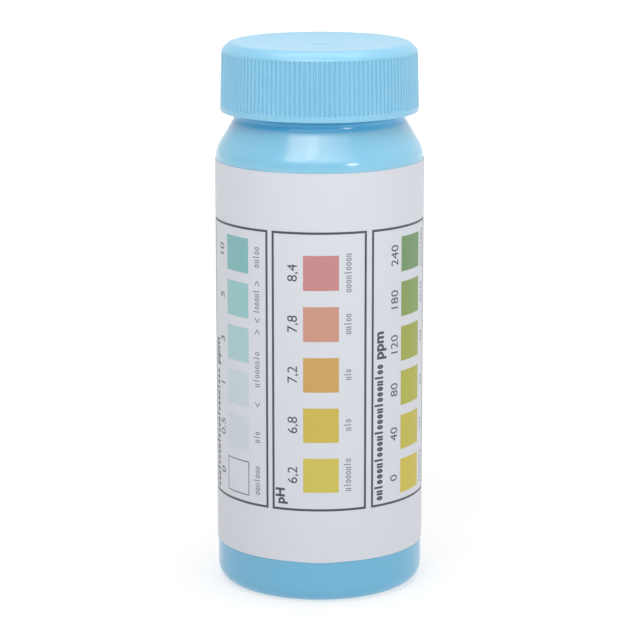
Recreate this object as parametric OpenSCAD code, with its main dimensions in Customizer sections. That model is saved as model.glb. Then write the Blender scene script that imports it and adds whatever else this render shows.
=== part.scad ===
// Bottle of dip-and-read test strips for pool and spa water.
// Blow-moulded round bottle, wrap-round label, ribbed screw cap with a foam liner, fifty strips with
// three reagent pads each, and a desiccant canister. Millimetres, +Z up, origin at the centre of the
// base on the surface that the bottle stands on. The middle of the label faces -Y.

/* [Bottle] */
// Diameter over the label
outer_d = 38; // [37.6:0.2:42]
// Height with the cap screwed down
total_h = 99.9; // [99.5:0.05:110]
// Wall thickness of the body
wall_t = 0.95; // [0.7:0.05:1]
// Radius of the rounded edge at the foot
foot_r = 2.8; // [2:0.1:3.2]
// Height of the push-up in the middle of the base
push_up_h = 1.2; // [0.8:0.1:1.6]
// Slope of the shoulder away from the upright
shoulder_slope = 30.4; // [26:0.2:34]
// Radius of the blend from body to shoulder
shoulder_r = 5; // [3:0.5:7]

/* [Neck finish] */
// Diameter of the neck between the threads
neck_d = 29.7; // [29.4:0.1:29.8]
// Diameter of the plain collar under the thread
collar_d = 31; // [30.9:0.1:31.4]
// Radius of the hollow curve from the collar to the shoulder
collar_curve_r = 2.7; // [1:0.1:2.7]
// Diameter over the neck thread
thread_d = 32.1; // [31.8:0.1:32.2]
// Rise of the thread in one turn, six turns to the inch
lead = 4.233; // [4:0.001:4.4]
// Turns of thread on the neck
neck_turns = 1.2; // [1:0.05:1.3]
// Diameter of the bore through the neck
bore_d = 27; // [26.4:0.2:27.4]

/* [Cap] */
// Diameter at the open edge
cap_d = 35.96; // [35.6:0.02:36.4]
// Height from the open edge to the top face
cap_h = 12.5; // [12.4:0.05:12.9]
// Draft of the side
cap_draft = 1.5; // [1:0.1:1.8]
// Thickness of the top plate
cap_top_t = 1.55; // [1.45:0.05:1.65]
// Width and height of the bevel round the top
cap_bevel = 1.5; // [1:0.1:1.8]
// Depth of the shallow hollow in the top face
top_hollow = 0.6; // [0.2:0.1:0.7]
// Radius that softens the bevel's lower corner
bevel_low_r = 0.8; // [0.3:0.1:1.2]
// Radius that softens the bevel's upper corner
bevel_high_r = 1.2; // [0.3:0.1:1.6]
// Number of grip ribs
rib_count = 126; // [90:2:140]
// Depth of the grooves between the ribs
rib_depth = 0.28; // [0.2:0.02:0.34]
// Height of the plain band under the ribs
band_h = 1.1; // [0.8:0.1:2]
// Thickness of the foam liner
liner_t = 1; // [0.8:0.1:1.2]

/* [Label] */
// Height of the label
label_h = 70.8; // [60:0.2:71]
// Height of the label's lower edge above the base
label_z = 7.87; // [6:0.01:8]
// Thickness of the label film
label_t = 0.16; // [0.1:0.01:0.16]
// Width of the gap where the two ends meet at the back
label_gap = 1.4; // [0.4:0.2:4]

/* [Test strips] */
// Length of a strip
strip_l = 83; // [75:0.5:83]
// Width of a strip
strip_w = 5; // [4.4:0.1:5]
// Thickness of the plastic carrier
strip_t = 0.3; // [0.2:0.02:0.3]
// Side of a square reagent pad
pad_l = 4.8; // [4:0.1:5]
// Thickness of a reagent pad
pad_t = 0.4; // [0.3:0.02:0.42]
// Gap between one pad and the next
pad_gap = 1.8; // [1:0.1:3]

/* [Desiccant] */
// Diameter of the canister
canister_d = 12.4; // [10:0.2:12.4]
// Height of the canister with its lid
canister_h = 18; // [16:0.5:24]
// Diameter of a silica gel bead
bead_d = 3; // [2.6:0.1:3]

/* [Hidden] */
$fn = 96;
strip_count = 50;
pad_nodes = ["chlorine_pads", "ph_pads", "alkalinity_pads"];
function strip_name(k) = str("strip_", k < 9 ? "0" : "", k + 1);

// colours
blue = "skyblue";
deep_blue = "cornflowerblue";
film_white = "lavender";
carrier_white = "white";
pad_colours = ["whitesmoke", "darkorange", "darkkhaki"];

// bottle
glue_t = 0.02;
body_r = outer_d / 2 - label_t - glue_t;
inner_r = body_r - wall_t;
floor_t = 1.2;
floor_z = push_up_h + floor_t;
floor_corner_r = 1.2;
standing_ring_w = 1.6;
push_up_slope_w = 1.8;
ring_in_r = body_r - foot_r - standing_ring_w;
push_up_r = ring_in_r - push_up_slope_w;
neck_r = neck_d / 2;
bore_r = bore_d / 2;
rim_edge_r = 0.4;
cap_z = total_h - cap_h;
rim_z = total_h - cap_top_t - liner_t;
cap_over_shoulder = 0.3;
shoulder_top_z = cap_z - cap_over_shoulder;
inner_shoulder_z = shoulder_top_z - rim_edge_r;
// the cone runs down and out from the neck until the blend arc takes over
blend_drop_r = shoulder_r * (1 - cos(shoulder_slope));
cone_h = (body_r - blend_drop_r - neck_r) / tan(shoulder_slope);
blend_z = shoulder_top_z - cone_h - shoulder_r * sin(shoulder_slope);
// the collar stands on the cone, and a hollow curve joins them
collar_r = collar_d / 2;
collar_z = shoulder_top_z - (collar_r - neck_r) / tan(shoulder_slope);
collar_curve_z = collar_z + collar_curve_r * tan(shoulder_slope / 2);

// threads: a tooth is wide at its root and narrow at its crest
tooth_root_w = 2;
tooth_crest_w = 1;
tooth_bury = 0.3;
tooth_least = 0.1;
thread_steps = 40;
fade_deg = 25;
rim_to_thread = 2.05;
neck_thread_z = rim_z - rim_to_thread - neck_turns * lead;
flank_gap = 0.35;
thread_play = 0.25;
cap_bore_r = thread_d / 2 + thread_play;
cap_crest_r = neck_r + thread_play;
cap_turns = 1.2;
cap_start_deg = 100;
tooth_h = thread_d / 2 - neck_r;
flank_w = tooth_root_w + tooth_crest_w
    - thread_play * (tooth_root_w - tooth_crest_w) / tooth_h;
cap_thread_drop = flank_w / 2 + flank_gap;

// cap
cap_r = cap_d / 2;
hollow_rim_w = 0.7;
bevel_z = total_h - cap_bevel;
bevel_low_at = cap_r - (bevel_z - cap_z) * tan(cap_draft);
bevel_high_at = bevel_low_at - cap_bevel;
bevel_set_back = tan(45 / 2);
hollow_r = bevel_high_at - bevel_high_r * bevel_set_back - hollow_rim_w;
hollow_curve_r = (pow(hollow_r, 2) + pow(top_hollow, 2)) / (2 * top_hollow);
rib_land = 0.56;
rib_foot_share = 1.25;
gate_r = 1;
gate_depth = 0.12;
liner_play = 0.4;
liner_r = cap_bore_r - liner_play;

// contents
column_count = 3;
column_pitch = 5.3;
row_pitch = 0.8;
row_count = ceil(strip_count / column_count);
slip = 0.12;
slip_deg = 137.5;
bundle_x = -3.4;
first_pad_z = 1.2;
canister_r = canister_d / 2;
canister_side_gap = 0.35;
canister_x = inner_r - canister_side_gap - canister_r;
canister_wall = 0.7;
canister_floor = 0.8;
canister_chamfer = 1;
canister_cove = 0.3;
lid_t = 1;
lid_skirt_h = 1.6;
lid_skirt_t = 0.7;
lid_clearance = 0.05;
bead_r = bead_d / 2;
bead_play = 0.05;
bead_gap = 0.02;
beads_round = 8;
bead_layers = 4;
vent_r = 0.5;
vent_step_deg = 60;

// how far a cutting solid runs past what it cuts
over = 1;

// points of an arc about [x, z] from one angle to another
function arc(x, z, r, from, to, steps = 8) =
    [for (i = [0 : steps]) let (a = from + (to - from) * i / steps) [x + r * cos(a), z + r * sin(a)]];

// outline of a solid of revolution, turned about Z
module turned(points) rotate_extrude() polygon(points);

// helical tooth round Z from start_deg, with its root buried in the wall at root_r and its crest at
// crest_r. The crest sinks into the wall at both ends over fade_deg.
module helical_tooth(root_r, crest_r, turns, z, start_deg) {
    out = sign(crest_r - root_r);
    sweep = turns * 360;
    steps = round(turns * thread_steps);
    rings = [for (i = [0 : steps]) let (
        a = sweep * i / steps,
        rise = min(1, a / fade_deg, (sweep - a) / fade_deg),
        r_in = root_r - out * tooth_bury,
        r_out = root_r + out * ((abs(crest_r - root_r) + tooth_least) * rise - tooth_least),
        mid = z + lead * (start_deg + a) / 360
    ) each [
        for (p = [
            [r_in, mid - tooth_root_w / 2], [r_out, mid - tooth_crest_w / 2],
            [r_out, mid + tooth_crest_w / 2], [r_in, mid + tooth_root_w / 2]
        ]) [p[0] * cos(start_deg + a), p[0] * sin(start_deg + a), p[1]]
    ]];
    sides = [for (i = [0 : steps - 1], j = [0 : 3]) let (
        a = 4 * i + j,
        b = 4 * i + (j + 1) % 4
    ) each [[a, b, b + 4], [a, b + 4, a + 4]]];
    last = 4 * steps;
    ends = [[0, 2, 1], [0, 3, 2], [last, last + 1, last + 2], [last, last + 2, last + 3]];
    faces = concat(sides, ends);
    polyhedron(rings, out < 0 ? [for (f = faces) [f[2], f[1], f[0]]] : faces);
}

module bottle_shell() {
    outside = concat(
        [[0, push_up_h], [push_up_r, push_up_h], [ring_in_r, 0]],
        arc(body_r - foot_r, foot_r, foot_r, -90, 0),
        arc(body_r - shoulder_r, blend_z, shoulder_r, 0, shoulder_slope),
        arc(collar_r + collar_curve_r, collar_curve_z, collar_curve_r, 180 + shoulder_slope, 180, 6),
        [[collar_r, shoulder_top_z], [neck_r, shoulder_top_z]],
        arc(neck_r - rim_edge_r, rim_z - rim_edge_r, rim_edge_r, 0, 90, 4)
    );
    inside = concat(
        arc(bore_r + rim_edge_r, rim_z - rim_edge_r, rim_edge_r, 90, 180, 4),
        [[bore_r, inner_shoulder_z]],
        [[inner_r, inner_shoulder_z - (inner_r - bore_r) / tan(shoulder_slope)]],
        arc(inner_r - floor_corner_r, floor_z + floor_corner_r, floor_corner_r, 0, -90, 6),
        [[0, floor_z]]
    );
    turned(concat(outside, inside));
}

module bottle() color(deep_blue) union() {
    bottle_shell();
    helical_tooth(neck_r, thread_d / 2, neck_turns, neck_thread_z, 0);
}

module label() color(film_white) {
    gap_deg = label_gap / (PI * outer_d) * 360;
    rotate([0, 0, 90 + gap_deg / 2])
        rotate_extrude(angle = 360 - gap_deg)
            translate([body_r + glue_t, label_z])
                square([label_t, label_h]);
}

// outside of the cap: drafted side, bevel at 45 degrees with softened corners, flat rim, hollow top
module cap_outside() turned(concat(
    [[0, cap_z], [cap_r, cap_z]],
    arc(bevel_low_at - bevel_low_r, bevel_z - bevel_low_r * bevel_set_back, bevel_low_r, 0, 45),
    arc(bevel_high_at - bevel_high_r * bevel_set_back, total_h - bevel_high_r, bevel_high_r, 45, 90),
    arc(0, total_h - top_hollow + hollow_curve_r, hollow_curve_r,
        asin(hollow_r / hollow_curve_r) - 90, -90, 6)
));

// star-shaped prism: its points are the ribs, and its feet lie deeper than the grooves
module rib_prism() {
    pitch = 360 / rib_count;
    tip_r = cap_r + over;
    foot_at = bevel_high_at;
    half_tip = pitch * rib_land / 2;
    half_foot = half_tip * rib_foot_share;
    points = [for (k = [0 : rib_count - 1]) let (mid = k * pitch) each [
        [foot_at * cos(mid - half_foot), foot_at * sin(mid - half_foot)],
        [tip_r * cos(mid - half_tip), tip_r * sin(mid - half_tip)],
        [tip_r * cos(mid + half_tip), tip_r * sin(mid + half_tip)],
        [foot_at * cos(mid + half_foot), foot_at * sin(mid + half_foot)]
    ]];
    translate([0, 0, cap_z]) linear_extrude(cap_h + over) polygon(points);
}

// everything outside the bottom of the grooves, less the ribs
module grooves() difference() {
    low_z = cap_z + band_h;
    slope = tan(cap_draft);
    turned([
        [cap_r - rib_depth - band_h * slope, low_z],
        [cap_r + 2 * over, low_z],
        [cap_r + 2 * over, total_h + over],
        [cap_r - rib_depth - (cap_h + over) * slope, total_h + over]
    ]);
    rib_prism();
}

module cap() color(blue) union() {
    difference() {
        cap_outside();
        grooves();
        translate([0, 0, cap_z - over]) cylinder(r = cap_bore_r, h = cap_h - cap_top_t + over);
        translate([0, 0, total_h - top_hollow - gate_depth]) cylinder(r = gate_r, h = over);
    }
    helical_tooth(cap_bore_r, cap_crest_r, cap_turns, neck_thread_z - cap_thread_drop, cap_start_deg);
}

module cap_liner() color(film_white)
    translate([0, 0, rim_z]) cylinder(r = liner_r, h = liner_t);

// lower left corner of a strip's carrier: three columns, with the small sideways slips of loose strips
function strip_at(k) = [
    bundle_x + (k % column_count - (column_count - 1) / 2) * column_pitch - strip_w / 2
        + slip * sin(k * slip_deg),
    (floor(k / column_count) - row_count / 2) * row_pitch,
    floor_z
];

module strip(k) color(carrier_white) translate(strip_at(k)) cube([strip_w, strip_t, strip_l]);

// one kind of reagent pad on every strip; slot 0 is next to the tip that is dipped
module pads(slot) color(pad_colours[slot])
    for (k = [0 : strip_count - 1])
        translate(strip_at(k) + [
            (strip_w - min(pad_l, strip_w)) / 2, strip_t, first_pad_z + slot * (pad_l + pad_gap)
        ])
            cube([min(pad_l, strip_w), pad_t, pad_l]);

module desiccant_canister() color(carrier_white) translate([canister_x, 0, floor_z]) {
    body_h = canister_h - lid_t;
    inside_r = canister_r - canister_wall;
    turned([
        [0, 0],
        [canister_r - canister_chamfer, 0],
        [canister_r, canister_chamfer],
        [canister_r, body_h],
        [inside_r, body_h],
        [inside_r, canister_floor + canister_cove],
        [inside_r - canister_cove, canister_floor],
        [0, canister_floor]
    ]);
}

module desiccant_lid() color(film_white)
    translate([canister_x, 0, floor_z + canister_h - lid_t]) {
        plug_r = canister_r - canister_wall - lid_clearance;
        difference() {
            union() {
                cylinder(r = canister_r, h = lid_t);
                translate([0, 0, -lid_skirt_h]) difference() {
                    cylinder(r = plug_r, h = lid_skirt_h + lid_t / 2);
                    translate([0, 0, -over]) cylinder(r = plug_r - lid_skirt_t, h = lid_skirt_h + over);
                }
            }
            for (a = [0 : vent_step_deg : 360 - vent_step_deg])
                rotate([0, 0, a]) translate([canister_r / 2, 0, -over])
                    cylinder(r = vent_r, h = lid_t + 2 * over);
            translate([0, 0, -over]) cylinder(r = vent_r, h = lid_t + 2 * over);
        }
    }

module desiccant_beads() color("gold") {
    ring_r = canister_r - canister_wall - bead_r - bead_play;
    low_z = floor_z + canister_floor + bead_r + bead_play;
    for (layer = [0 : bead_layers - 1])
        translate([canister_x, 0, low_z + layer * (bead_d + bead_gap)]) {
            sphere(r = bead_r);
            for (n = [0 : beads_round - 1])
                rotate([0, 0, (n + layer / 2) * 360 / beads_round]) translate([ring_r, 0, 0])
                    sphere(r = bead_r);
        }
}

bottle();
label();
cap();
cap_liner();
for (k = [0 : strip_count - 1])
    strip(k);
for (slot = [0 : len(pad_nodes) - 1])
    pads(slot);
desiccant_canister();
desiccant_lid();
desiccant_beads();
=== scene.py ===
"""Looks of a bottle of pool and spa test strips: bottle, label with its printed colour chart, ribbed screw
cap with a foam liner, fifty strips with reagent pads, and a desiccant canister.

Shapes are worked out in millimetres in the frame's own axes (+Z up, the middle of the label faces -Y),
and turned into metres as each piece is made.
"""

import math

import bmesh
import bpy
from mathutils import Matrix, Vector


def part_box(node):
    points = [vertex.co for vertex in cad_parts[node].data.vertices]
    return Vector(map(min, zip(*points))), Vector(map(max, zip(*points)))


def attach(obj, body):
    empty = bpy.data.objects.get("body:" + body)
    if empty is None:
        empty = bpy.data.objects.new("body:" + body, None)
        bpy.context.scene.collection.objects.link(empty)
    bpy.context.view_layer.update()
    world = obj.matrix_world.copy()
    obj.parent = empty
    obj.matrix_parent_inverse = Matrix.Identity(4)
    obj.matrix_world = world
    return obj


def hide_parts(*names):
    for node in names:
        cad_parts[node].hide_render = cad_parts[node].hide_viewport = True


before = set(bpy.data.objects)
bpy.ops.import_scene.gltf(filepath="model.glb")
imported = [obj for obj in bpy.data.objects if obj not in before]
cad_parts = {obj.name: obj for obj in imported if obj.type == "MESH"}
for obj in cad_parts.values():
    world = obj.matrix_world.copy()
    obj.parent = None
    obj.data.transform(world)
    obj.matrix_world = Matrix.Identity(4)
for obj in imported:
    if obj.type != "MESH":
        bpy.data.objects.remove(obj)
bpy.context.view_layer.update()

MM = 0.001
TAU = 2 * math.pi


# ---------------------------------------------------------------------------------------------
# Sizes
# ---------------------------------------------------------------------------------------------


def box_mm(node):
    """Lowest and highest corner of a CAD node, in millimetres."""
    low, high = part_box(node)
    return low / MM, high / MM


BOTTLE_LOW, BOTTLE_HIGH = box_mm("bottle")
LABEL_LOW, LABEL_HIGH = box_mm("label")
CAP_LOW, CAP_HIGH = box_mm("cap")
LINER_LOW, LINER_HIGH = box_mm("cap_liner")
CANISTER_LOW, CANISTER_HIGH = box_mm("desiccant_canister")
LID_LOW, LID_HIGH = box_mm("desiccant_lid")
BEADS_LOW, BEADS_HIGH = box_mm("desiccant_beads")

# bottle
BODY_R = BOTTLE_HIGH.x
WALL = 0.95
INNER_R = BODY_R - WALL
FOOT_R = 2.8
PUSH_UP_H = 1.2
STANDING_RING_W = 1.6
PUSH_UP_SLOPE_W = 1.8
RING_IN_R = BODY_R - FOOT_R - STANDING_RING_W
PUSH_UP_R = RING_IN_R - PUSH_UP_SLOPE_W
PINCH_H = 0.35
PINCH_W = 0.45
# the canister stands on the floor
FLOOR_Z = CANISTER_LOW.z
FLOOR_CORNER_R = 1.2
NECK_R = 14.85
BORE_R = 13.5
RIM_Z = BOTTLE_HIGH.z
RIM_EDGE_R = 0.4
SLOPE = math.radians(30.4)
SHOULDER_R = 5
CAP_GAP = 0.3
SHOULDER_TOP_Z = CAP_LOW.z - CAP_GAP
COLLAR_R = 15.5
COLLAR_Z = SHOULDER_TOP_Z - (COLLAR_R - NECK_R) / math.tan(SLOPE)
COLLAR_CURVE_R = 1.9
COLLAR_EDGE_R = 0.15
SEAM_H = 0.006
SEAM_W = 0.22

# threads
LEAD = 4.233
THREAD_TURNS = 1.2
THREAD_R = 16.05
THREAD_PLAY = 0.25
TOOTH_H = THREAD_R - NECK_R
TOOTH_ROOT_W = 2.0
TOOTH_CREST_W = 1.0
FADE_DEG = 25
RIM_TO_THREAD = 2.05
NECK_THREAD_Z = RIM_Z - RIM_TO_THREAD - THREAD_TURNS * LEAD
# the cap's tooth hangs below the neck's: half of both their widths, where their flanks face each other,
# and a gap between the flanks
FLANK_GAP = 0.35
TEETH_W = TOOTH_ROOT_W + TOOTH_CREST_W - THREAD_PLAY * (TOOTH_ROOT_W - TOOTH_CREST_W) / TOOTH_H
CAP_THREAD_Z = NECK_THREAD_Z - TEETH_W / 2 - FLANK_GAP
CAP_THREAD_START = 100

# cap
CAP_R = CAP_HIGH.x
CAP_Z = CAP_LOW.z
CAP_TOP_Z = CAP_HIGH.z
DRAFT_DEG = 1.5
DRAFT = math.tan(math.radians(DRAFT_DEG))
# the rounded bevel round the top, from the side up: (radius, tilt it turns to, in degrees)
BEVEL_ARCS = ((0.8, 38), (6.0, 52), (1.0, 80), (6.0, 88), (1.0, 94.5))
BEVEL_H = 1.86
TOP_HOLLOW = 0.6
RIB_END_H = 1.85
BAND_H = 1.1
RIB_COUNT = 126
RIB_STEPS = 8
RIB_LAND = 0.56
RIB_DEPTH = 0.28
CAP_BORE_R = THREAD_R + THREAD_PLAY
PLATE_Z = LINER_HIGH.z
GATE_R = 1.0
LIP_R = 0.25

# label
LABEL_R = LABEL_HIGH.x
LABEL_T = 0.16
LABEL_GAP = 1.4
HALF_TURN = math.pi * LABEL_R - LABEL_GAP / 2

# strips and pads
STRIPS = sorted(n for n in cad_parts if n.startswith("strip_"))
PAD_T = 0.4
PAD_SIDE = 4.8

# desiccant
CANISTER_AXIS = ((CANISTER_LOW.x + CANISTER_HIGH.x) / 2, 0)
CANISTER_R = (CANISTER_HIGH.x - CANISTER_LOW.x) / 2
CANISTER_WALL = 0.7
VENT_R = 0.5
BEAD_R = 1.5
BEAD_LAYERS = 4
BEADS_IN_RING = 8


# ---------------------------------------------------------------------------------------------
# Mesh helpers
# ---------------------------------------------------------------------------------------------


def put(name, data):
    """An object that shows data, in the scene."""
    thing = bpy.data.objects.new(name, data)
    bpy.context.scene.collection.objects.link(thing)
    return thing


def mesh_mm(name, points, faces):
    """A mesh from points in millimetres."""
    mesh = bpy.data.meshes.new(name)
    mesh.from_pydata([[c * MM for c in p] for p in points], [], faces)
    return mesh


def evaluated_mesh(thing):
    """A mesh of what an object shows, with its modifiers applied."""
    bpy.context.view_layer.update()
    return bpy.data.meshes.new_from_object(thing.evaluated_get(bpy.context.evaluated_depsgraph_get()))


def make_piece(name, points, faces, materials, body, stands_for=(), sharp_deg=38, indices=None):
    """A mesh piece from points in millimetres, smooth but for edges sharper than sharp_deg."""
    mesh = mesh_mm(name, points, faces)
    for material in materials:
        mesh.materials.append(material)
    if indices:
        mesh.polygons.foreach_set("material_index", indices)
    mesh.shade_smooth()
    mesh.set_sharp_from_angle(angle=math.radians(sharp_deg))
    mesh.validate()
    piece = put(name, mesh)
    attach(piece, body)
    if stands_for:
        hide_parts(*stands_for)
    return piece


def skin(rings, loop=False):
    """Points and faces of a skin over closed rings, seen from outside when they go anticlockwise about
    the way on to the next. Neighbours have as many points, or one a whole multiple of the other's."""
    points, starts = [], []
    for ring in rings:
        starts.append(len(points))
        points += ring
    order = list(range(len(rings))) + ([0] if loop else [])
    faces = []
    for a, b in zip(order, order[1:]):
        size_a, size_b = len(rings[a]), len(rings[b])
        count = max(size_a, size_b) if min(size_a, size_b) == 1 else min(size_a, size_b)
        for i in range(count):
            low = side_points(starts[a], size_a, count, i)
            high = side_points(starts[b], size_b, count, i)
            faces.append(low + high[::-1])
    return points, faces


def capped(rings):
    """A skin closed by a flat face at each end."""
    points, faces = skin(rings)
    count = len(rings[0])
    faces.append(list(range(count))[::-1])
    faces.append(list(range(len(points) - count, len(points))))
    return points, faces


def side_points(start, size, count, i):
    """The points that one of count faces takes from a ring."""
    if size == 1:
        return [start]
    step = size // count
    return [start + k % size for k in range(i * step, (i + 1) * step + 1)]


def polar(radius, angle, z):
    return (radius * math.cos(angle), radius * math.sin(angle), z)


def arc(x, z, radius, first, last, steps):
    """Points of an arc, angles in degrees."""
    angles = [math.radians(first + (last - first) * i / steps) for i in range(steps + 1)]
    return [(x + radius * math.cos(a), z + radius * math.sin(a)) for a in angles]


def even(first, last, steps):
    return [first + (last - first) * i / steps for i in range(steps + 1)]


def circle(count):
    """Evenly spaced angles, once round."""
    return [TAU * i / count for i in range(count)]


def smooth_step(t):
    t = min(1.0, max(0.0, t))
    return t * t * (3 - 2 * t)


def turned(profile, angles, centre=(0, 0), shift=None):
    """Rings of a profile of (r, z) points turned about an upright axis. shift(r, z, angle) may move a point
    to another (r, z). A radius of 0 is a single point."""
    rings = []
    for r, z in profile:
        if r == 0:
            rings.append([(centre[0], centre[1], z)])
            continue
        ring = []
        for a in angles:
            new_r, new_z = shift(r, z, a) if shift else (r, z)
            x, y, up = polar(new_r, a, new_z)
            ring.append((x + centre[0], y + centre[1], up))
        rings.append(ring)
    return rings


def join(parts):
    """Points and faces of several meshes as one."""
    points, faces = [], []
    for more_points, more_faces in parts:
        first = len(points)
        points += more_points
        faces += [[first + i for i in face] for face in more_faces]
    return points, faces


def turn_between(angle, start_deg):
    """Degrees from start_deg on to an angle in radians, 0 up to 360."""
    return (math.degrees(angle) - start_deg) % 360


def tooth(angle, z, start_z, start_deg):
    """Height of a thread's tooth at a place on its wall, 0 to 1."""
    sweep = THREAD_TURNS * 360
    height = 0.0
    for turn in range(2):
        along = turn_between(angle, start_deg) + 360 * turn
        if along > sweep:
            continue
        middle = start_z + LEAD * (start_deg + along) / 360
        off = abs(z - middle)
        flank = (TOOTH_ROOT_W / 2 - off) / ((TOOTH_ROOT_W - TOOTH_CREST_W) / 2)
        fade = smooth_step(min(along, sweep - along) / FADE_DEG)
        height = max(height, smooth_step(flank) * fade)
    return height


# ---------------------------------------------------------------------------------------------
# Material helpers
# ---------------------------------------------------------------------------------------------


def linear(code):
    """A colour written as it is seen on screen, "rrggbb", as linear light."""
    parts = [int(code[i:i + 2], 16) / 255 for i in (0, 2, 4)]
    return [c / 12.92 if c <= 0.04045 else ((c + 0.055) / 1.055) ** 2.4 for c in parts]


def shade(colour, factor):
    return [min(1.0, c * factor) for c in colour]


def map_range(tree, value, low, high, to_low, to_high):
    """value stretched from low..high to to_low..to_high, and held there."""
    node = tree.nodes.new("ShaderNodeMapRange")
    for key, number in zip(("From Min", "From Max", "To Min", "To Max"), (low, high, to_low, to_high)):
        node.inputs[key].default_value = number
    tree.links.new(value, node.inputs["Value"])
    return node.outputs["Result"]


class Look:
    """A procedural material: a Principled shader with nodes for colour, roughness and bump."""

    def __init__(self, name, **sockets):
        self.material = bpy.data.materials.new(name)
        self.material.use_nodes = True
        self.tree = self.material.node_tree
        self.shader = self.tree.nodes["Principled BSDF"]
        self.place = self.add("ShaderNodeTexCoord").outputs["Object"]
        self.relief = None
        for key, value in sockets.items():
            self.shader.inputs[key.replace("_", " ").title().replace("Ior", "IOR")].default_value = value

    def add(self, kind, **settings):
        node = self.tree.nodes.new(kind)
        for key, value in settings.items():
            setattr(node, key, value)
        return node

    def link(self, out, socket):
        self.tree.links.new(out, socket)

    def stretched(self, x, y, z):
        """Coordinates scaled on each axis."""
        mapping = self.add("ShaderNodeMapping")
        mapping.inputs["Scale"].default_value = (x, y, z)
        self.link(self.place, mapping.inputs["Vector"])
        return mapping.outputs["Vector"]

    def noise(self, size_mm, detail=2.0, roughness=0.5, place=None):
        """Noise with features of about size_mm."""
        node = self.add("ShaderNodeTexNoise")
        node.inputs["Scale"].default_value = 1 / (size_mm * MM)
        node.inputs["Detail"].default_value = detail
        node.inputs["Roughness"].default_value = roughness
        self.link(place or self.place, node.inputs["Vector"])
        return node.outputs["Fac"]

    def spread(self, value, low, high, to_low=0.0, to_high=1.0):
        return map_range(self.tree, value, low, high, to_low, to_high)

    def blend(self, factor, first, second):
        """Two colours, or outputs of colours, mixed by factor."""
        node = self.add("ShaderNodeMix", data_type="RGBA")
        self.link(factor, node.inputs["Factor"])
        for socket, colour in ((node.inputs[6], first), (node.inputs[7], second)):
            if isinstance(colour, bpy.types.NodeSocket):
                self.link(colour, socket)
            else:
                socket.default_value = (*colour, 1.0)
        return node.outputs[2]

    def colour(self, out):
        self.link(out, self.shader.inputs["Base Color"])

    def roughness(self, out):
        self.link(out, self.shader.inputs["Roughness"])

    def bump(self, height, depth_mm):
        """Adds relief of that depth over what is there."""
        node = self.add("ShaderNodeBump")
        node.inputs["Strength"].default_value = 1.0
        node.inputs["Distance"].default_value = depth_mm * MM
        self.link(height, node.inputs["Height"])
        if self.relief:
            self.link(self.relief, node.inputs["Normal"])
        self.relief = node.outputs["Normal"]
        self.link(self.relief, self.shader.inputs["Normal"])


# ---------------------------------------------------------------------------------------------
# Materials
# ---------------------------------------------------------------------------------------------

BOTTLE_BLUE = (0.230, 0.550, 0.750)
# painted shade: a deeper blue for the foot, where less light falls
FOOT_PAINTED_SHADE_BLUE = (0.125, 0.440, 0.665)
# painted shadow: a deeper blue for the collar under the cap
COLLAR_PAINTED_SHADE_BLUE = (0.065, 0.450, 0.780)
CAP_BLUE = (0.225, 0.535, 0.735)
PAPER_WHITE = (0.633, 0.651, 0.702)
DUST = (0.6, 0.8, 0.9)


def bottle_plastic():
    """Blow-moulded polyethylene: glossy, faintly wavy, with a fine skin and hairline scuffs, and painted
    shade at the foot and at the collar under the cap.
    """
    look = Look("bottle_polyethylene", ior=1.54, specular_ior_level=0.75, subsurface_weight=0.2)
    look.shader.inputs["Specular Tint"].default_value = (1.0, 0.8, 0.65, 1.0)
    look.shader.inputs["Subsurface Radius"].default_value = (0.3, 0.8, 1.2)
    look.shader.inputs["Subsurface Scale"].default_value = 1.5 * MM
    drift = look.spread(look.noise(14, 2), 0.2, 0.8)
    wall = look.blend(drift, shade(BOTTLE_BLUE, 0.97), shade(BOTTLE_BLUE, 1.03))
    # painted shade: the wall's colour is deeper at the foot, where less light falls, and at the collar, in
    # the cap's shadow
    apart = look.add("ShaderNodeSeparateXYZ")
    look.link(look.place, apart.inputs["Vector"])
    height = apart.outputs["Z"]
    # painted shade at the foot
    above = look.spread(height, (LABEL_LOW.z - 1) * MM, (LABEL_LOW.z + 6) * MM)
    wall = look.blend(above, FOOT_PAINTED_SHADE_BLUE, wall)
    # painted shadow of the cap, on the collar
    collar = look.spread(height, (COLLAR_Z - 0.8) * MM, (COLLAR_Z - 0.2) * MM)
    look.colour(look.blend(collar, wall, COLLAR_PAINTED_SHADE_BLUE))
    scuffs = look.noise(0.6, 4, 0.6, look.stretched(1, 1, 0.12))
    look.roughness(look.spread(scuffs, 0.35, 0.75, 0.17, 0.25))
    look.bump(look.noise(7, 1), 0.03)
    look.bump(look.noise(0.5, 2), 0.001)
    return look.material


def cap_plastic():
    """Injection-moulded polypropylene: satin, with a fine grain and a few pale specks of dust."""
    look = Look("cap_polypropylene", ior=1.5, specular_ior_level=0.75, subsurface_weight=0.08)
    look.shader.inputs["Subsurface Radius"].default_value = (0.4, 0.8, 1.0)
    look.shader.inputs["Subsurface Scale"].default_value = 0.8 * MM
    drift = look.spread(look.noise(9, 2), 0.2, 0.8)
    body = look.blend(drift, shade(CAP_BLUE, 0.98), shade(CAP_BLUE, 1.02))
    dust = look.spread(look.noise(0.4, 1), 0.76, 0.84, 0.0, 0.35)
    look.colour(look.blend(dust, body, DUST))
    look.roughness(look.spread(look.noise(5, 1), 0.1, 0.9, 0.285, 0.33))
    look.bump(look.noise(0.5, 2), 0.0008)
    return look.material


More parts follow.
